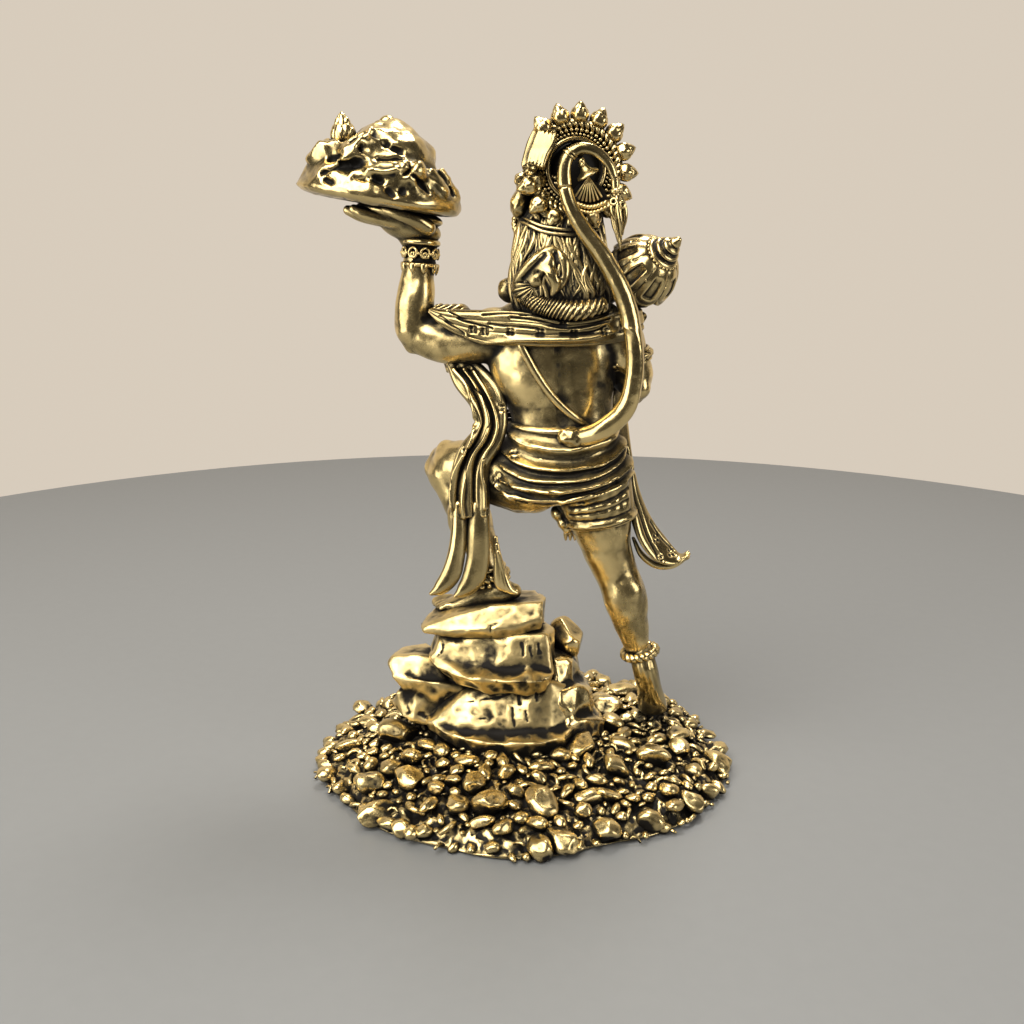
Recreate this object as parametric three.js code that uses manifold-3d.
// A cast brass figure of the monkey god Hanuman, carrying a mountain on the left palm and a mace over the
// right
// shoulder, brazed to a round plinth of gravel with a pile of boulders on it.
// Millimetres, +Z up. The figure faces -Y, its own left is +X, and the origin is the middle of the plinth's
// underside.
import * as THREE from "three";
import { mergeVertices } from "three/addons/utils/BufferGeometryUtils.js";
import Module from "manifold-3d";

const wasm = await Module();
wasm.setup();

// Driving dimensions.
const FIGURE_HEIGHT = 141.5; // from the gravel under the feet to the top bud of the head disc
const PLINTH_WIDTH = 99; // across the slab from side to side
const PLINTH_DEPTH = 94; // across the slab from front to back
const PLINTH_THICKNESS = 8.5; // slab in the middle, under the feet
const PLINTH_EDGE = 4.2; // slab at its rim
const BRAZE_GAP = 0.3; // between a sole and what it stands on
const GRAVEL_HEIGHT = 2.2; // between the highs and the lows of the slab's top
const PEBBLES = 22; // larger pebbles cast on the slab
const PEBBLE_SIZE = 2.8; // half the width of a middling one

// The figure keeps its proportions: it was drawn 141.5 mm tall, and everything in it is a share of that
// height.
const DRAWN_HEIGHT = 141.5;
const UNIT = FIGURE_HEIGHT / DRAWN_HEIGHT;
const DRAWN_GROUND = 8.5; // height of the gravel in the drawing that the points below are read from
const WELD = 1e-4; // vertices nearer than this are one
const HAIR = 0.005; // least distance between two folds of one skin
const CLEAN = 0.34; // folds of the skin shallower than this are smoothed away after the joins

const TAU = 2 * Math.PI;
const brass = { color: 0xb08d3c, roughness: 0.34, metalness: 1 };

// Vectors and small helpers

const vector = (p) => new THREE.Vector3(p[0], p[1], p[2]);
const mix = (a, b, t) => a + (b - a) * t;
const radians = (degrees) => (degrees * Math.PI) / 180;

// A steady number from 0 to 1 for each pair of whole numbers, so that every build is the same.
function scatter(i, j = 0) {
  const s = Math.sin(i * 127.1 + j * 311.7 + 17.3) * 43758.5453;
  return s - Math.floor(s);
}

// A geometry as a closed solid, with only its positions kept.
function solid(geometry) {
  const bare = new THREE.BufferGeometry().setAttribute("position", geometry.getAttribute("position"));
  bare.setIndex(geometry.index);
  const merged = mergeVertices(bare, WELD);
  return new wasm.Manifold(
    new wasm.Mesh({
      numProp: 3,
      vertProperties: new Float32Array(merged.attributes.position.array),
      triVerts: new Uint32Array(merged.index.array),
    }),
  );
}

const join = (solids) => wasm.Manifold.union(solids);

// One solid casting: with its sealed hollows filled and its finest slivers collapsed.
function oneCasting(made) {
  const shells = made.asOriginal().simplify(CLEAN).decompose();
  return join(shells.filter((shell) => shell.volume() > 0));
}

// A solid placed by a matrix.
const placed = (made, matrix) => made.transform(matrix.elements);

// Shapes

// Unit outlines of a sweep's section, in order from the top (0, 1) towards (1, 0).
function roundSection(sides) {
  return Array.from(
    { length: sides },
    (_, k) => [Math.sin((k / sides) * TAU), Math.cos((k / sides) * TAU)],
  );
}

// A flat cloth section with rounded folds on its outer side: folds ridges across the width, smooth on the
// back.
function foldSection(folds, depth) {
  const outer = Array.from({ length: 2 * folds + 1 }, (_, k) => {
    const x = -1 + k / folds;
    return [x * 0.94, k % 2 ? 1 : 1 - depth];
  });
  return [
    ...outer.filter((p) => p[0] >= 0),
    [1, 0],
    [0.8, -1],
    [-0.8, -1],
    [-1, 0],
    ...outer.filter((p) => p[0] < 0),
  ];
}

// A closed sweep. Each station is [x, y, z, half width, half thickness]; the width runs as near as it can
// to `wide`.
// The rings are those of a CylinderGeometry, moved to stations read from a smooth curve through the given
// ones.
function sweep(
  stations,
  { section = roundSection(7), steps = 2 * stations.length, wide = [1, 0, 0] } = {},
) {
  const curve = new THREE.CatmullRomCurve3(stations.map(vector), false, "centripetal");
  const along = (s) => {
    const place = s * (stations.length - 1);
    const i = Math.min(Math.floor(place), stations.length - 2);
    const size = (k) => mix(stations[i][k], stations[i + 1][k], place - i);
    const point = curve.getPoint(s);
    const heading = curve.getTangent(s);
    const across = vector(wide).addScaledVector(heading, -vector(wide).dot(heading)).normalize();
    return { point, across, up: new THREE.Vector3().crossVectors(heading, across), a: size(3), b: size(4) };
  };
  const rings = Array.from({ length: steps }, (_, k) => along(k / (steps - 1)));
  const tube = new THREE.CylinderGeometry(1, 1, 1, section.length, steps - 1);
  const position = tube.getAttribute("position");
  for (let i = 0; i < position.count; i++) {
    const [x, y, z] = [position.getX(i), position.getY(i), position.getZ(i)];
    const ring = rings[Math.round((0.5 - y) * (steps - 1))];
    const turn = Math.round((Math.atan2(x, z) / TAU) * section.length + section.length) % section.length;
    const [u, v] = Math.hypot(x, z) < 0.5 ? [0, 0] : section[turn];
    const moved = ring.point
      .clone()
      .addScaledVector(ring.across, u * ring.a)
      .addScaledVector(ring.up, v * ring.b);
    position.setXYZ(i, moved.x, moved.y, moved.z);
  }
  return solid(tube);
}

// An ellipsoid with its radii, turned by degrees about x, y and z in that order.
function lump(centre, radii, { turn = [0, 0, 0], round = 7, high = 4 } = {}) {
  const ball = new THREE.SphereGeometry(1, round, high).rotateX(Math.PI / 2);
  const matrix = new THREE.Matrix4().compose(
    vector(centre),
    new THREE.Quaternion().setFromEuler(new THREE.Euler(...turn.map(radians), "ZYX")),
    vector(radii),
  );
  return solid(ball.applyMatrix4(matrix));
}

// A turned form about an axis: profile points are [radius, height along the axis].
function turned(profile, base, axis, sides = 8) {
  const form = new THREE.LatheGeometry(
    profile.map(([r, h]) => new THREE.Vector2(r, h)),
    sides,
  );
  const matrix = new THREE.Matrix4().compose(
    vector(base),
    new THREE.Quaternion().setFromUnitVectors(new THREE.Vector3(0, 1, 0), vector(axis).normalize()),
    new THREE.Vector3(1, 1, 1),
  );
  return solid(form.applyMatrix4(matrix));
}

// A ring round an axis, such as an anklet or a bangle.
function hoop(centre, axis, radius, wire, sides = 9) {
  const around = [0, 1, 2, 3].map((k) => radians(k * 90));
  const profile = around.map((a) => [radius + wire * Math.cos(a), wire * Math.sin(a)]);
  return turned([...profile, profile[0]], centre, axis, sides);
}

// A half-space as a large block whose flat top lies at a point and faces along a direction.
function blockBelow(point, up, size) {
  const block = new THREE.BoxGeometry(size[0], size[1], size[2]).translate(0, 0, -size[2] / 2);
  const matrix = new THREE.Matrix4().compose(
    vector(point),
    new THREE.Quaternion().setFromUnitVectors(new THREE.Vector3(0, 0, 1), vector(up).normalize()),
    new THREE.Vector3(1, 1, 1),
  );
  return solid(block.applyMatrix4(matrix));
}

// Torso and limbs

// The trunk from the seat to the neck: [x, y, z, half width, half depth].
const TRUNK = [
  [-7.5, 0.3, 62.5, 9, 7],
  [-8.3, 0.6, 66, 14, 9.6],
  [-8.6, 0.6, 71, 15, 10],
  [-8.7, 0.3, 76, 13.4, 9],
  [-8.6, 0, 81, 11.6, 8.2],
  [-8.1, -0.2, 87, 11.9, 8.3],
  [-6.7, -0.4, 94, 14.2, 9],
  [-6.4, -0.4, 100, 14.8, 9.2],
  [-6.6, -0.3, 105, 12.6, 7.6],
  [-7.2, -0.2, 109, 7, 5.8],
  [-7, -1, 122, 6, 5.8],
];

// Where the trunk's skin is at a height and an angle from the spine, 0 at the middle of the back, plus a
// step outwards.
function onTrunk(height, angle, out) {
  const above = Math.max(
    1,
    TRUNK.findIndex((s) => s[2] > height),
  );
  const [low, high] = [TRUNK[above - 1], TRUNK[above]];
  const t = (height - low[2]) / (high[2] - low[2]);
  const [x, y, , a, b] = low.map((value, k) => mix(value, high[k], t));
  return [x + (a + out) * Math.sin(angle), y + (b + out) * Math.cos(angle), height];
}

const SHOULDER_LEFT = [7, 0, 101.8];
const ELBOW_LEFT = [25, -2, 102.2];
const WRIST_LEFT = [23.2, -2.6, 121];
const SHOULDER_RIGHT = [-20.3, 0, 102];
const ELBOW_RIGHT = [-25, -1.5, 91.2];
const HAND_RIGHT = [-13, -15.5, 103];
const KNEE_LEFT = [17.6, -8, 70.6];
const ANKLE_LEFT = [8.2, -1.5, 46.4];
const KNEE_RIGHT = [-21.6, 0.6, 46.8];
const ANKLE_RIGHT = [-27.6, 0.8, 27];

function limbs() {
  const at = (p, a, b) => [...p, a, b];
  return [
    sweep([
      at(SHOULDER_LEFT, 6, 6),
      [16.4, -1, 100, 5, 4.9],
      at(ELBOW_LEFT, 3.9, 4),
      [27.6, -2, 103.2, 1.8, 1.8],
    ], {
      steps: 6,
      wide: [0, 1, 0],
    }),
    sweep(
      [
        [24.8, -2, 99.6, 2.6, 2.6],
        at(ELBOW_LEFT, 4.1, 4.2),
        [23.9, -2.3, 111.4, 4.1, 4],
        at(WRIST_LEFT, 3.2, 2.9),
      ],
      { steps: 6 },
    ),
    sweep(
      [
        [-18, 0, 105.6, 3.4, 4],
        at(SHOULDER_RIGHT, 5.6, 5.8),
        [-23.2, -0.5, 96.6, 4.8, 4.9],
        at(ELBOW_RIGHT, 4.1, 4.2),
        [-25, -1, 87.8, 2, 2],
      ],
      { steps: 7 },
    ),
    sweep(
      [
        [-25.6, 0.4, 90, 3, 3],
        at(ELBOW_RIGHT, 4, 4),
        [-20.6, -8, 95.6, 3.8, 3.7],
        at(HAND_RIGHT, 2.9, 2.7),
      ],
      { steps: 6 },
    ),
    sweep(
      [[-2, 0.4, 69, 8, 7.8], [8, -4, 70.2, 7.5, 7.2], at(KNEE_LEFT, 5.6, 5.6), [20.8, -9.6, 70, 3, 3]],
      { steps: 6, wide: [0, 1, 0] },
    ),
    sweep(
      [
        [18.2, -8, 74, 3, 3],
        at(KNEE_LEFT, 5.4, 5.6),
        [12.4, -4.4, 58.5, 4.9, 5.1],
        at(ANKLE_LEFT, 3.1, 3.2),
        [6.6, -0.6, 40.6, 3.2, 3.4],
      ],
      { steps: 8 },
    ),
    sweep(
      [[-15.4, 0.6, 67, 8.6, 8.6], [-17.8, 0.6, 59, 7.2, 7], [-19, 0.6, 53.6, 6, 6],
        at(KNEE_RIGHT, 5.1, 5.2), [-23.8, 1.4, 40.4, 5.2, 5.4],
       [-25, 1.3, 35, 4.3, 4.5], [-26.8, 1, 29, 3, 3.1], at(ANKLE_RIGHT, 2.8, 3)],
      { steps: 11 },
    ),
  ];
}

// Feet: the left one flat on the top boulder, pointing to the figure's left, the right one up on its toes.
const LEFT_SOLE = { heel: [3.6, 0.4, 40.3], toe: [18.4, -2.8, 36.9] };
const RIGHT_SOLE = [-32.3, -6, DRAWN_GROUND + 0.6];
const soleUp = () => {
  const run = vector(LEFT_SOLE.toe).sub(vector(LEFT_SOLE.heel));
  return new THREE.Vector3().crossVectors(
    run,
    new THREE.Vector3().crossVectors(new THREE.Vector3(0, 0, 1), run),
  ).normalize();
};

function feet() {
  return [
    sweep([[2.4, 0.8, 42.4, 2.2, 1.9], [4.4, 0.4, 42.2, 3.2, 3.2], [8.4, -0.6, 41.2, 3.3, 3.6],
      [13.4, -1.8, 39.2, 3.6, 2.6],
      [17.4, -2.6, 38, 3.5, 1.9], [18.8, -2.9, 37.6, 2.6, 1.4]], { wide: [0.2, 1, 0], steps: 6 }),
    sweep(
      [[17, -2.7, 37.9, 3.3, 1.2], [20.4, -3.2, 37.2, 2.9, 1]],
      { section: foldSection(5, 0.4), steps: 2, wide: [0.2, 1, 0] },
    ),
    sweep([[-27.8, 1.2, 27.4, 2.8, 3], [-28.8, 2.2, 23.6, 3, 3.6], [-30, 0.6, 18.6, 3, 3.2],
      [-31.2, -2, 13.6, 3.4, 2.6],
      [-32, -5, 10.2, 3.5, 1.9], [-32.5, -8.4, 9.6, 3.2, 1.5]], { steps: 7 }),
    sweep(
      [[-32.4, -8, 9.9, 3.3, 1.1], [-32.6, -11.6, 9.5, 2.9, 0.9]],
      { section: foldSection(5, 0.4), steps: 2, wide: [1, 0, 0] },
    ),
    hoop([-27.6, 0.9, 27.4], [0.22, 0.05, 1], 3.8, 1.1),
    hoop([8, -1.3, 45.8], [0.2, 0, 1], 3.8, 1.1),
  ];
}

// The band of fingers that wraps the mace's handle, across the handle on the side away from the body.
function grip() {
  const down = vector(HAND_RIGHT).sub(vector(MACE.centre)).normalize();
  const out = new THREE.Vector3(0, -1, 0).addScaledVector(down, down.y).normalize();
  const round = new THREE.Vector3().crossVectors(down, out);
  const at = (aside, off) => [
    ...vector(HAND_RIGHT).addScaledVector(round, aside).addScaledVector(out, off).toArray(),
    3.6,
    1.1,
  ];
  return sweep(
    [at(-3, 0.6), at(0, 3), at(3, 0.6)],
    { section: foldSection(4, 0.5), steps: 4, wide: down.toArray() },
  );
}

function hands() {
  return [
    // Left palm, turned up under the mountain, with the fingers out to the figure's left and the thumb at
    // the back.
    lump([25.6, -2.6, 125.5], [7.4, 5, 3], { turn: [0, -14, 0], round: 9, high: 5 }),
    sweep(
      [[28, -2.6, 126.4, 4.8, 1.4], [33.4, -2.6, 127.6, 4.5, 1.3], [36.8, -2.6, 128.4, 3.6, 0.9]],
      { section: foldSection(4, 0.5), steps: 3, wide: [0, -1, 0] },
    ),
    sweep(
      [[20.6, 0.6, 124.6, 1.8, 1.8], [23.4, 2.6, 126.2, 1.6, 1.4], [29.4, 2.6, 127.6, 1.1, 1.1]],
      { section: roundSection(5), wide: [0, 0, 1], steps: 4 },
    ),
    turned(
      [[0, -3], [3.8, -3], [4.4, -2.2], [3.8, -1.2], [4.4, 0.2], [3.8, 1.4], [4.2, 2.4], [3.4, 3], [0, 3]],
      [23, -2.6, 119.4],
      [-0.08, 0, 1],
      9,
    ),
    // Right fist round the mace's handle.
    lump(HAND_RIGHT, [3.3, 3.4, 3.9], { turn: [0, 55, 0] }),
    grip(),
    hoop([-16.6, -11.8, 99.6], [0.55, -0.68, 0.5], 3.6, 1.1),
    hoop([-23.2, -0.6, 96.6], [0.3, 0.1, 1], 4.9, 0.9),
    lump([-28.2, 0.6, 97.4], [1.6, 1.7, 1.5], { round: 5, high: 3 }),
    hoop([16.8, -1, 99.8], [1, 0, 0], 5, 0.9),
  ];
}

// The head is built about its own centre, facing -Y, and then turned to the figure's left.
const HEAD = [-7, -1, 130];
const HEAD_TURN = 30;
const DISC = { centre: [-1, 9, 6.9], ring: 9.8, hollow: 5.6, thick: 2.2, buds: 20, budTip: 13.3 };

function face() {
  const both = (make) => [make(1), make(-1)];
  return [
    lump([0, 0.4, -2], [7.7, 8.2, 10], { round: 10, high: 7 }),
    lump([0, -6.6, -6.4], [4.6, 4.8, 4.2], { round: 8, high: 5 }), // muzzle
    lump([0, -9.8, -4], [1.9, 1.7, 1.5], { turn: [-20, 0, 0], round: 6, high: 4 }), // nose
    lump([0, -5.8, -10.4], [3.4, 3.2, 2.3], { round: 6, high: 4 }), // chin
    ...both((s) => lump(
      [s * 3, -6.6, 0.6],
      [3, 1.4, 0.9],
      { turn: [0, s * 10, s * 16], round: 6, high: 3 },
    )), // brows
    ...both((s) => lump([s * 5.3, -3.4, -6], [3, 3.6, 5])), // cheek fur
    ...both((s) => lump([s * 8.2, -0.6, -1.2], [1.2, 2.2, 3.3], { round: 5, high: 3 })), // ears
    ...both((s) => hoop([s * 8.8, -1, -4.2], [1, 0, 0], 2.2, 0.95, 7)), // ear rings
    ...both((s) => lump([s * 8.9, 1.4, 2.4], [2.3, 2.1, 2.1], { round: 5, high: 3 })), // ear flowers
  ];
}

function crown() {
  const both = (make) => [make(1), make(-1)];
  const dome = [
    [0, 0], [8.4, 0], [9, 1.2], [7.8, 2.6], [7.8, 5], [5.8, 8.4], [6.1, 9.6], [2.9, 12.4], [3, 13.4],
    [0, 15.4],
  ];
  return [
    turned(dome, [0, 0, 3.4], [0, 0, 1], 10),
    // Front leaf, side wings and a frill of small leaves along the brow.
    sweep(
      [[0, -8.4, 4.6, 3.4, 1], [0, -9.4, 9, 3.6, 1], [0, -8.8, 13, 1.9, 0.8], [0, -8, 15.4, 0.4, 0.4]],
      { section: roundSection(6), steps: 4 },
    ),
    ...both((s) => sweep([
      [s * 7.2, -3.6, 4.8, 2.4, 0.9], [s * 8, -4, 8.6, 2.5, 0.9], [s * 7.4, -3.8, 12, 0.6, 0.5],
    ], {
      section: roundSection(4), steps: 3, wide: [0.4 * s, 1, 0] })),
    ...both((s) => sweep([
      [s * 6.6, 5, 4.6, 3.2, 0.9], [s * 7, 5.2, 8, 2.6, 0.9], [s * 6.6, 5.2, 11.6, 3, 0.9],
    ], {
      section: foldSection(2, 0.6), steps: 3, wide: [-s, 0.5, 0] })),
  ];
}

function headDisc() {
  const { centre, ring, hollow, thick, buds, budTip } = DISC;
  const [x, y, z] = centre;
  // A round plate with a ridge and a hollow on its back, and a rim drawn out to the tips of the buds.
  const rim = 2;
  const profile = [
    [0, -thick], [ring - 0.8, -thick], [ring + 0.2, -0.7], [ring - 0.6, 0.9], [hollow, 0.3],
    [hollow - 0.6, -1], [0, -1],
  ];
  const plate = new THREE.LatheGeometry(profile.map(([r, h]) => new THREE.Vector2(r, h)), 2 * buds);
  const position = plate.getAttribute("position");
  for (let i = 0; i < position.count; i++) {
    const side = Math.floor(i / profile.length);
    const out = i % profile.length === rim && side % 2 === 0 ? budTip / profile[rim][0] : 1;
    position.setXYZ(i, position.getX(i) * out, position.getY(i), position.getZ(i) * out);
  }
  // The tassel that hangs from the boss, as a fan of cords over a row of beads.
  const fan = sweep(
    [[x, y - 0.6, z - 0.4, 0.9, 0.9], [x, y - 0.3, z - 3.2, 2.3, 0.8], [x, y - 0.3, z - 6.4, 2.8, 1]],
    { section: foldSection(3, 0.6), steps: 3, wide: [-1, 0, 0] },
  );
  return [
    solid(plate.translate(x, y, z)),
    turned([[0, -1.4], [2.1, -1], [0.9, 0.3], [0, 1.9]], [x, y, z + 1.4], [0, 1, 0], 6),
    fan,
    lump([x, y, z - 7.2], [3, 0.9, 0.8], { round: 6, high: 3 }),
    lump([0, 5.6, 5], [5.2, 3, 5.2]),
  ];
}

// Hair: a mass down the nape, its outer side corrugated into locks, and rolled curls at its foot.
const LOCKS = 9;
function hair() {
  const mass = [
    [-8.2, 4, 129, 8, 4.8], [-7.4, 5.6, 120, 9.6, 5.2], [-7.6, 6.6, 112, 10.6, 5.2],
    [-8.6, 6, 106.2, 9.6, 4.4],
  ];
  const locks = roundSection(2 * LOCKS + 4).map(([u, v], k) => (k % 2 || v < -0.3 ? [u, v] : [u * 0.86,
    v * 0.86]));
  return [
    sweep(mass, { section: locks, steps: 5, wide: [-1, 0, 0] }),
    lump([-5.2, 10.6, 117.2], [3.6, 3, 3.8], { turn: [0, 24, 0] }), // the twisted lock over the nape
    lump([-0.4, 9.2, 112.2], [4, 3, 3], { turn: [0, -18, 0] }),
    lump([-5.4, 11, 111.6], [2.4, 2.2, 3.4], { turn: [0, 20, 0] }),
    lump([3, 1, 110.6], [3.6, 3, 3.4]),
    sweep([
      [0.6, 8.6, 110.4, 1.8, 2], [-4.6, 10.8, 107.6, 2, 2.4], [-10.6, 11.2, 106.8, 2.3, 2.6],
      [-16, 9, 108.2, 1.6, 2],
    ], {
      section: roundSection(6), wide: [0, 1, 0], steps: 6 }),
  ];
}

// Tail: out of the belt, out past the right hip, up behind the shoulder and over the head disc, with a tuft
// at its end.
function tail() {
  const path = [
    [-10, 8.4, 79.2, 2, 2], [-15.6, 10.4, 81.4, 2.3, 2.1], [-21.2, 11.8, 86.4, 2.3, 2.1],
      [-23, 12.6, 93, 2, 2.1], [-22.8, 13, 101, 2.1, 2.2],
    [-20.8, 13.2, 109.4, 2.1, 2.1], [-16.2, 13.2, 118, 2, 2], [-11, 13.2, 125, 1.9, 1.9],
      [-8, 13, 131.4, 1.8, 1.8], [-8.2, 12.8, 136.6, 1.8, 1.8],
    [-11, 12.6, 139.9, 1.7, 1.7], [-14.8, 12.4, 138.8, 1.5, 1.5], [-17, 12.2, 134.8, 1.4, 1.4],
      [-17.8, 12, 129.8, 1.2, 1.2],
  ];
  const tuft = [
    [-17.8, 12, 130, 1.1, 1.1], [-17.9, 12, 127, 2, 1.9], [-17.9, 12, 123.6, 1.6, 1.6],
    [-17.7, 12, 118.8, 0.4, 0.4],
  ];
  return [
    sweep(path, { section: roundSection(6), steps: 22, wide: [0, 1, 0] }),
    sweep(tuft, { section: roundSection(6), steps: 4, wide: [0, 1, 0] }),
    // The web of metal that ties the tail to the head disc.
    lump([-11.2, 10.6, 138.6], [1.6, 3, 1.6], { round: 5, high: 3 }),
  ];
}

// Clothing

// A fold of cloth round the trunk between two angles, hanging lower in the middle.
function swag(start, end, sag, from, to, thick, steps = 6) {
  const points = Array.from({ length: steps }, (_, k) => {
    const t = k / (steps - 1);
    const height = mix(start, end, t) - sag * Math.sin(Math.PI * t);
    const taper = 0.6 + 0.4 * Math.sin(Math.PI * t);
    return [...onTrunk(height, mix(from, to, t), thick * 0.25), thick * taper, thick * taper];
  });
  return sweep(points, { section: roundSection(5), steps, wide: [0, 0, 1] });
}

// The cloth wound round the hips: folds run from side to side and hang lower at the back and the front than
// at the
// sides. Rows from the hem upwards: [height on the left, height on the right, sag, step out from the body].
const HIP_FOLDS = [
  [63, 64, 1.2, -2.2],
  [66.6, 67, 3, 0.6],
  [68.4, 69.4, 3.2, 1.6],
  [70, 71, 3.4, 0.5],
  [72.2, 73, 3.8, 1.7],
  [73.8, 74.4, 3.6, 0.5],
  [76, 76, 3.6, 1.8],
  [77.6, 77.2, 3, 0.6],
  [79.8, 79, 2.6, 1.7],
  [81.2, 80.2, 1.6, 0.7],
  [82.2, 81.6, 0.4, 1.5],
  [84, 83.6, 0, 1.3],
  [84.4, 84, 0, -0.6],
];
function hipCloth() {
  const around = 16;
  const rows = HIP_FOLDS.length;
  const drum = new THREE.CylinderGeometry(1, 1, 1, around, rows - 1).rotateX(Math.PI / 2);
  const position = drum.getAttribute("position");
  for (let i = 0; i < position.count; i++) {
    const [x, y, z] = [position.getX(i), position.getY(i), position.getZ(i)];
    const [left, right, sag, out] = HIP_FOLDS[Math.round((0.5 + z) * (rows - 1))];
    const onAxis = Math.hypot(x, y) < 0.5;
    const angle = Math.atan2(x, y);
    const height = onAxis ? (left + right) / 2 : mix(
      left,
      right,
      0.5 - 0.5 * Math.sin(angle),
    ) - sag * Math.abs(Math.cos(angle)) ** 1.3;
    const [skinX, skinY] = onTrunk(height, angle, out);
    position.setXYZ(i, onAxis ? TRUNK[3][0] : skinX, onAxis ? TRUNK[3][1] : skinY, height);
  }
  return solid(drum);
}

function loincloth() {
  return [
    hipCloth(),
    // Seat of the cloth and its short leg, with the hem band on the right thigh.
    lump([-3, 1.4, 67.6], [9.4, 8.6, 5.8], { round: 8 }),
    sweep(
      [[-15.6, 0.6, 67, 9.2, 9.2], [-17.4, 0.6, 61.6, 8.2, 8.2], [-17.8, 0.6, 59.2, 7.8, 7.8]],
      { steps: 3 },
    ),
    hoop([-17.8, 0.6, 60.2], [0.19, 0, 1], 7.5, 1.1),
    lump([-8.6, -1.6, 60.6], [2.4, 3.4, 3.4], { turn: [0, -20, 0] }),
    // Pleated panel that falls from the belt in front of the right thigh.
    sweep([
      [-8, -8.6, 82, 3, 1.4], [-8.6, -11.8, 74, 3.4, 1.4], [-10.6, -11.2, 64, 3, 1.3],
      [-12.4, -9.4, 55, 2.8, 1.1],
    ], {
      section: foldSection(2, 0.6), steps: 5, wide: [-1, 0, 0] }),
  ];
}

// Shawl: across the shoulders, down behind the left elbow to the left knee, and down the right hip to a
// flared tip.
function shawl() {
  const folds = foldSection(4, 0.55);
  return [
    sweep([[20.6, 3, 107.2, 0.5, 1], [17.4, 4.2, 105.6, 1.9, 1.4], [9.8, 6.2, 103.9, 3.5, 1.6],
      [1.1, 9, 103.4, 3.7, 1.5], [-7.4, 10, 102.8, 3.1, 1.6],
      [-15.9, 9.3, 103.2, 3.2, 1.5], [-21.2, 6.6, 104, 3.2, 1.5], [-25, 1.6, 105, 2.8, 1.4]], {
        section: folds,
        steps: 9,
        wide: [0.1, 0.1, 1],
      }),
    sweep([
      [19, 3, 106.2, 2, 1.4], [16.4, -0.6, 107, 3.6, 1.4], [15.4, -5, 104.6, 4, 1.4],
      [15.4, -6.8, 98.6, 4, 1.3], [14.4, -3.6, 93.6, 3.4, 1.4],
    ], {
      section: foldSection(2, 0.55), steps: 5, wide: [1, 0.2, 0] }),
    // The hanging end, from under the arm to the two lobes behind the left shin.
    sweep([[15.6, -1.4, 96.6, 2.6, 1.4], [12.4, 0.4, 92.6, 4, 1.6], [8.6, 2.4, 88, 4.1, 1.6],
      [7.2, 3.4, 82.6, 3.5, 1.7], [8.4, 4, 79, 3.7, 1.8],
      [11.2, 4.2, 75, 4, 1.8], [12.4, 4.4, 69.8, 4.4, 1.7], [13, 4.8, 60.4, 4.9, 1.5],
        [12.8, 5, 54.6, 4.8, 1.3], [13.8, 5.4, 48.8, 4.5, 1.2],
      [17, 6, 44.6, 3.8, 1], [20.6, 6.4, 43.4, 1.4, 0.7]], { section: folds, steps: 14, wide: [-1, 0, 0] }),
    // The other end, from the right shoulder down the hip to a flared tip.
    sweep([[-25, 0.6, 105, 2.4, 1.4], [-24, -6.4, 101.6, 2.8, 1.4], [-22, -9.4, 94, 2.8, 1.3],
      [-21.4, -8, 86, 2.6, 1.3], [-22.2, -3.6, 79.6, 2.4, 1.4],
      [-23.6, -0.8, 71, 2.2, 1.5], [-25.6, -0.4, 63, 2.6, 1.4], [-28.6, -0.6, 56, 4.2, 1.1],
        [-33.2, -0.8, 50.6, 4, 0.9], [-38.4, -1, 48.4, 1.2, 0.7]], {
      section: foldSection(2, 0.5), steps: 12, wide: [0.6, 0.8, -0.3] }),
    // The cord worn over the left shoulder, down the back to the right hip.
    sweep(
      [
        [1.4, 8.4, 101, 0.9, 0.9], [-3, 8.7, 93.6, 0.9, 0.9], [-7.6, 8.2, 87.4, 0.9, 0.9],
        [-13.4, 7.2, 82.4, 0.9, 0.9],
      ],
      { section: roundSection(4), steps: 5, wide: [1, 0, 0] },
    ),
  ];
}

// Chest: necklaces with a pendant.
function necklaces() {
  const chain = (top, drop, wire) => swag(top, top, drop, Math.PI - 1.1, Math.PI + 1.1, wire, 6);
  return [
    chain(107, 5, 1),
    hoop([-7.1, -0.6, 111.6], [0, 0.12, 1], 6.4, 1.4, 10), // collar
    chain(106, 11, 1.1),
    turned(
      [[0, -1], [1.8, -0.8], [2.2, 0.4], [1, 1.2], [0, 1.4]],
      onTrunk(94.6, Math.PI, 0.6),
      [0, -1, 0.1],
      8,
    ),
  ];
}

// Mace: a lobed head with a stepped spike, on a handle that runs down in front of the shoulder to the fist.
const MACE = { centre: [-25.6, 0.6, 115.4], radius: 8.1, lobes: 8 };

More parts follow.
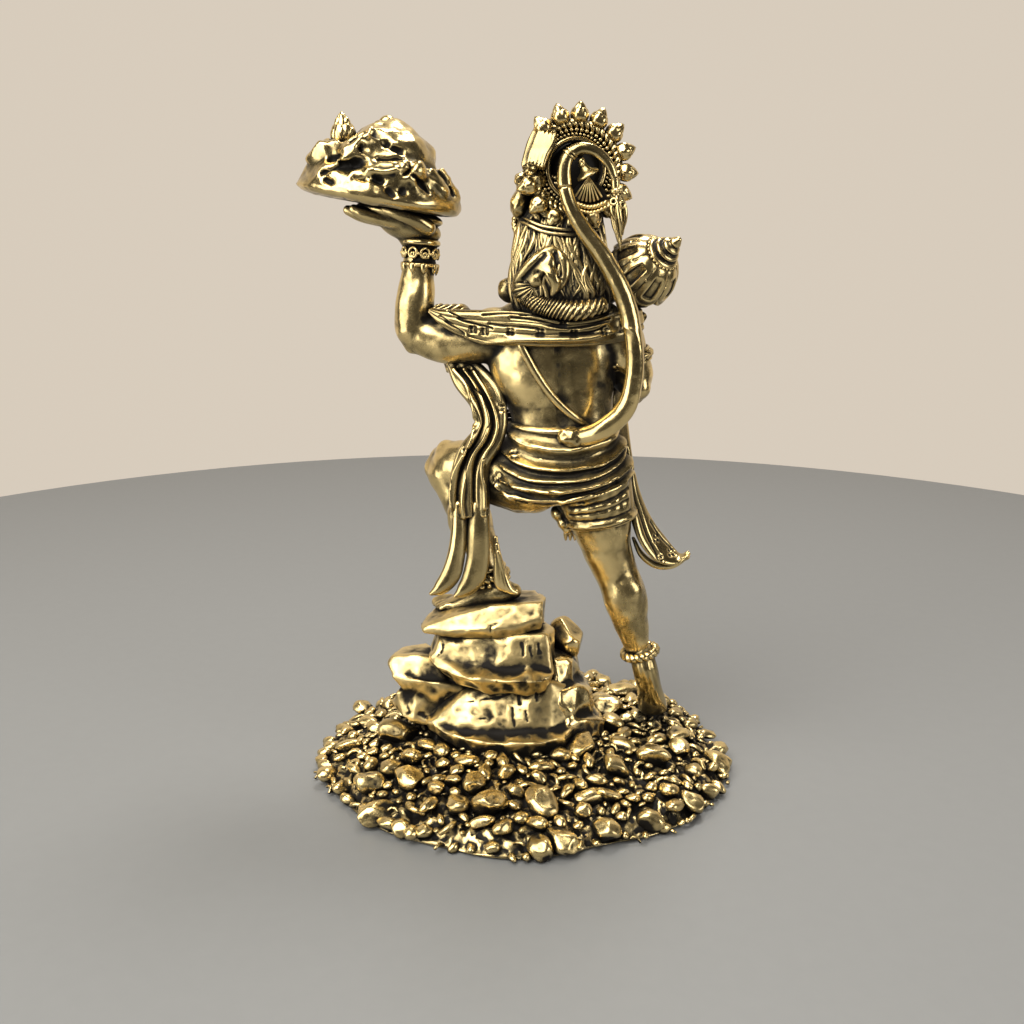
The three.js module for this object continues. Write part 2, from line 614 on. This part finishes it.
function mace() {
  const { centre, radius, lobes } = MACE;
  const up = vector(centre).sub(vector(HAND_RIGHT)).normalize();
  const arc = (from, to, count) => Array.from({ length: count }, (_, k) => mix(from, to, k / (count - 1)));
  const body = arc(-1.2, 1.15, 5).map((a) => [radius * Math.cos(a), radius * Math.sin(a)]);
  const ball = new THREE.LatheGeometry(
    [[0, body[0][1] - 0.4], ...body, [0, body.at(-1)[1] + 0.2]].map(([r, h]) => new THREE.Vector2(r, h)),
    2 * lobes,
  );
  const position = ball.getAttribute("position");
  for (let i = 0; i < position.count; i++) {
    const side = Math.round((Math.atan2(position.getX(i), position.getZ(i)) / TAU) * 2 * lobes);
    const share = Math.abs(side % 2) ? 0.9 : 1;
    position.setXYZ(i, position.getX(i) * share, position.getY(i), position.getZ(i) * share);
  }
  const stand = new THREE.Matrix4().compose(
    vector(centre),
    new THREE.Quaternion().setFromUnitVectors(new THREE.Vector3(0, 1, 0), up),
    new THREE.Vector3(1, 1, 1),
  );
  const grip = vector(HAND_RIGHT).sub(vector(centre)).length();
  return [
    solid(ball.applyMatrix4(stand)),
    turned(
      [[0, 6], [4.4, 6.4], [4.8, 7.4], [3.2, 8], [3.5, 9], [2.2, 9.6], [2.3, 10.4], [0, 12.8]],
      centre,
      up.toArray(),
      8,
    ),
    turned(
      [
        [0, -grip - 8.8], [2.5, -grip - 8], [2.5, -grip - 6.6], [1.5, -grip - 6], [1.6, -9.4], [3.4, -8.4],
        [2.8, -6.4], [0, -6],
      ],
      centre,
      up.toArray(),
      8,
    ),
  ];
}

// Mountain: a crag with a flat underside, held a little tilted, with a leafy bud and a knob on its top.
// Rings above the underside: [height, middle from side to side, half width, share of the depth].
const MOUNTAIN = {
  place: [32.1, -2.6, 129.1],
  deep: 14.4,
  tilt: 9.8,
  rings: [
    [0, -0.3, 17.8, 0.97], [2, -0.5, 18.4, 1], [4.4, -0.5, 17.8, 0.97], [7, 0, 16, 0.9],
    [9.8, 0.4, 13.6, 0.8], [12.2, 0, 10.4, 0.68], [14.6, 1.4, 6.8, 0.52], [16.8, 2.6, 4.2, 0.34],
  ],
};

function mountain() {
  const { place, deep, tilt, rings } = MOUNTAIN;
  const around = 16;
  const crag = new THREE.CylinderGeometry(1, 1, 1, around, rings.length - 1).rotateX(Math.PI / 2);
  const position = crag.getAttribute("position");
  for (let i = 0; i < position.count; i++) {
    const [x, y, z] = [position.getX(i), position.getY(i), position.getZ(i)];
    const level = Math.round((0.5 + z) * (rings.length - 1));
    const [height, middle, wide, share] = rings[level];
    const angle = Math.atan2(y, x);
    const side = (Math.round((angle / TAU) * around) + around) % around;
    const smooth = level < 2 || Math.hypot(x, y) < 0.5;
    const rough = smooth ? 1 : 1 + 0.13 * (scatter(side, level) - 0.55);
    const lift = smooth ? 0 : 1.8 * (scatter(side + 40, level) - 0.5);
    const reach = Math.hypot(x, y) * rough;
    position.setXYZ(
      i,
      middle + wide * reach * Math.cos(angle),
      deep * share * reach * Math.sin(angle),
      height + lift,
    );
  }
  const matrix = new THREE.Matrix4().compose(
    vector(place),
    new THREE.Quaternion().setFromEuler(new THREE.Euler(radians(-2), radians(-tilt), 0)),
    new THREE.Vector3(1, 1, 1),
  );
  return [
    placed(solid(crag), matrix),
    lump([38.4, -2.6, 143.6], [2.3, 1.8, 4.8], { turn: [0, 8, 0], round: 6, high: 5 }),
    lump([40.2, -2.6, 141.4], [1.4, 1.4, 3.2], { round: 5, high: 3 }),
    lump([29.8, -2.6, 146.6], [2, 1.8, 1.5], { round: 5, high: 3 }),
    lump([20.6, -2, 138.6], [2.6, 4, 2], { round: 5, high: 3 }),
    lump([24, 4, 134], [3.4, 5, 3], { turn: [0, 10, 20] }),
    lump([37, 5, 136], [4.4, 4, 3], { turn: [0, -12, 0] }),
  ];
}

// Plinth

// A flat-sided boulder: a squashed ball of few faces, with each corner pushed in or out, turned by degrees.
function boulder(centre, radii, turn, seed, detail = 1) {
  const rock = new THREE.IcosahedronGeometry(1, detail);
  const bare = mergeVertices(
    new THREE.BufferGeometry().setAttribute("position", rock.getAttribute("position")),
    WELD,
  );
  const position = bare.getAttribute("position");
  for (let i = 0; i < position.count; i++) {
    const p = new THREE.Vector3().fromBufferAttribute(position, i);
    const flat = Math.sign(p.z) * Math.min(Math.abs(p.z), 0.62);
    p.set(p.x, p.y, flat * 1.3).multiplyScalar(1 + 0.2 * (scatter(i, seed) - 0.5));
    position.setXYZ(i, p.x, p.y, p.z);
  }
  const matrix = new THREE.Matrix4().compose(
    vector(centre),
    new THREE.Quaternion().setFromEuler(new THREE.Euler(...turn.map(radians), "ZYX")),
    vector(radii),
  );
  return solid(bare.applyMatrix4(matrix));
}

// The boulders of the pile: middle, half sizes, turn, seed, and 0 for one with few faces.
const BOULDERS = [
  [[1.6, -3.6, 12], [22.4, 15.6, 8.2], [0, -4, 4], 3],
  [[7.2, -4.4, 25.8], [14.6, 12, 7], [0, 2, 0], 5],
  [[24, -6, 20.4], [9.4, 8.6, 5.2], [0, 8, 0], 8],
  [[9.6, -3.2, 35.9], [13.4, 10.2, 4.2], [0, 12, 4], 12],
  [[-1, -3.6, 35.4], [5.4, 8.4, 3.6], [0, 4, 0], 33, 0],
  [[-11.4, -6, 29], [3.7, 5, 5.2], [0, 14, 20], 15],
  [[-12, -6, 17], [8, 9, 9], [10, 24, 0], 19],
  [[3, -17, 13.6], [17, 9.4, 9.4], [0, 6, 10], 22],
  [[9, -12.6, 27], [10, 7.6, 6], [0, -6, -12], 25, 0],
  [[-14.6, 2, 10.6], [7, 6, 5], [0, 20, 0], 27, 0],
];

// The slab: a low mound with a wavy rim and a gravelly top.
function slab() {
  const around = 36;
  const profile = [
    [0, 0], [0.972, 0], [1, PLINTH_EDGE * 0.45], [0.965, PLINTH_EDGE], [0.83, 0], [0.68, 0], [0.53, 0],
    [0.4, 0], [0, 0],
  ];
  const disc = new THREE.LatheGeometry(
    profile.map(([share, height]) => new THREE.Vector2(share, height)),
    around,
  ).rotateX(Math.PI / 2);
  const position = disc.getAttribute("position");
  for (let i = 0; i < position.count; i++) {
    const row = i % profile.length;
    const share = profile[row][0];
    const angle = Math.atan2(position.getY(i), position.getX(i));
    const side = (Math.round((angle / TAU) * around) + around) % around;
    const onTop = row > 3 && row < profile.length - 1;
    const wave = 0.014 * Math.sin(5 * angle + 1) + 0.012 * Math.sin(9 * angle);
    const reach = share * (1 + wave) + (onTop ? 0.05 * (scatter(side, row) - 0.5) : 0);
    const bump = onTop ? GRAVEL_HEIGHT * (scatter(side + 60, row) - 0.5) : 0;
    const height = row < 4 ? profile[row][1] : slabTop(share) + bump;
    position.setXYZ(
      i,
      (PLINTH_WIDTH / 2) * reach * Math.cos(angle),
      (PLINTH_DEPTH / 2) * reach * Math.sin(angle),
      height,
    );
  }
  return solid(disc);
}

// Height of the slab's top at a share of its radius.
const slabTop = (share) => (share < 0.4 ? PLINTH_THICKNESS : mix(
  PLINTH_THICKNESS,
  PLINTH_EDGE,
  (share - 0.4) / 0.57,
));

// Pebbles in a sunflower pattern over the slab, so that they are spread evenly, each nudged and sized by
// scatter.
function pebbles() {
  const golden = Math.PI * (3 - Math.sqrt(5));
  return Array.from({ length: PEBBLES }, (_, k) => {
    const share = Math.sqrt(mix(0.2, 0.93, (k + 0.5) / PEBBLES)) * 0.985;
    const angle = k * golden + 0.3 * (scatter(k, 1) - 0.5);
    const size = mix(PEBBLE_SIZE * 0.6, PEBBLE_SIZE * 1.3, scatter(k, 2) ** 1.5);
    const place = [
      share * (PLINTH_WIDTH / 2) * Math.cos(angle),
      share * (PLINTH_DEPTH / 2) * Math.sin(angle),
      slabTop(share) + size * 0.25,
    ];
    return boulder(
      place,
      [size * mix(1, 1.5, scatter(k, 3)), size, Math.min(size * 0.8, slabTop(share) * 0.6)],
      [0, 0, 360 * scatter(k, 4)],
      k,
      0,
    );
  });
}

// The two castings

// The figure's frame sits on the gravel, whatever the slab's thickness.
const drawnToPlace = new THREE.Matrix4()
  .makeTranslation(0, 0, PLINTH_THICKNESS)
  .scale(new THREE.Vector3(UNIT, UNIT, UNIT))
  .multiply(new THREE.Matrix4().makeTranslation(0, 0, -DRAWN_GROUND));

const headPlace = new THREE.Matrix4()
  .makeTranslation(...HEAD)
  .multiply(new THREE.Matrix4().makeRotationZ(radians(HEAD_TURN)));

// Blocks under the soles. What lies in them is cut from the figure, and what lies above them from the
// plinth.
const SOLE_BLOCK = [[11, -1.2, 0], [24, 10, 5]];
function soleBlocks(rise) {
  const up = soleUp();
  const middle = vector(LEFT_SOLE.heel).lerp(vector(LEFT_SOLE.toe), 0.5).addScaledVector(up, rise / UNIT);
  const right = [RIGHT_SOLE[0], RIGHT_SOLE[1], RIGHT_SOLE[2] - 0.2 + rise / UNIT];
  return join([
    blockBelow(middle.toArray(), up.toArray(), SOLE_BLOCK[1]),
    blockBelow(right, [0, 0, 1], [10, 15, 5]),
  ]);
}
function soleRooms() {
  const up = soleUp();
  const high = 5;
  const middle = vector(LEFT_SOLE.heel).lerp(vector(LEFT_SOLE.toe), 0.5).addScaledVector(up, high);
  return join([
    blockBelow(middle.toArray(), up.toArray(), [24, 10, high]),
    blockBelow([RIGHT_SOLE[0], RIGHT_SOLE[1] + 1, RIGHT_SOLE[2] - 0.2 + high], [0, 0, 1], [10, 16, high]),
  ]);
}

function figure() {
  const head = join([...face(), ...crown(), ...headDisc()]);
  const parts = [
    sweep(TRUNK, { section: roundSection(12), steps: 11 }),
    ...limbs(), ...feet(), ...hands(), placed(head, headPlace), ...hair(), ...tail(), ...loincloth(),
      ...shawl(), ...necklaces(), ...mace(), ...mountain(),
  ];
  const cast = join(parts).subtract(soleBlocks(BRAZE_GAP));
  return oneCasting(placed(cast, drawnToPlace));
}

function plinth() {
  const rocks = join(BOULDERS.map((one) => boulder(...one)));
  const feetRoom = placed(soleRooms(), drawnToPlace);
  const ground = join([slab(), ...pebbles()]);
  const underside = blockBelow(
    [0, 0, 0],
    [0, 0, 1],
    [2 * PLINTH_WIDTH, 2 * PLINTH_WIDTH, 2 * PLINTH_THICKNESS],
  );
  return oneCasting(ground.add(placed(rocks, drawnToPlace)).subtract(feetRoom).subtract(underside));
}

// Corners at the same place that belong to two folds of the skin are drawn in by a hair, so that the folds
// don't touch.
function drawApart(geometry) {
  const [position, normal] = [geometry.getAttribute("position"), geometry.getAttribute("normal")];
  const places = new Map();
  for (let i = 0; i < position.count; i++) {
    const key = [
      position.getX(i),
      position.getY(i),
      position.getZ(i),
    ].map((v) => Math.round(v / HAIR)).join();
    places.set(key, [...(places.get(key) ?? []), i]);
  }
  for (const i of [...places.values()].filter((same) => same.length > 1).flat()) {
    const p = new THREE.Vector3().fromBufferAttribute(position, i);
    p.addScaledVector(new THREE.Vector3().fromBufferAttribute(normal, i), -2 * HAIR);
    position.setXYZ(i, p.x, p.y, p.z);
  }
}

function named(name, made) {
  const { vertProperties, triVerts } = made.getMesh();
  const geometry = new THREE.BufferGeometry();
  geometry.setAttribute("position", new THREE.BufferAttribute(vertProperties, 3));
  geometry.setIndex(new THREE.BufferAttribute(triVerts, 1));
  geometry.computeVertexNormals();
  drawApart(geometry);
  const mesh = new THREE.Mesh(geometry, new THREE.MeshStandardMaterial(brass));
  mesh.name = name;
  return mesh;
}

const statue = new THREE.Group();
statue.add(named("rock_plinth", plinth()), named("hanuman_figure", figure()));

export default statue;
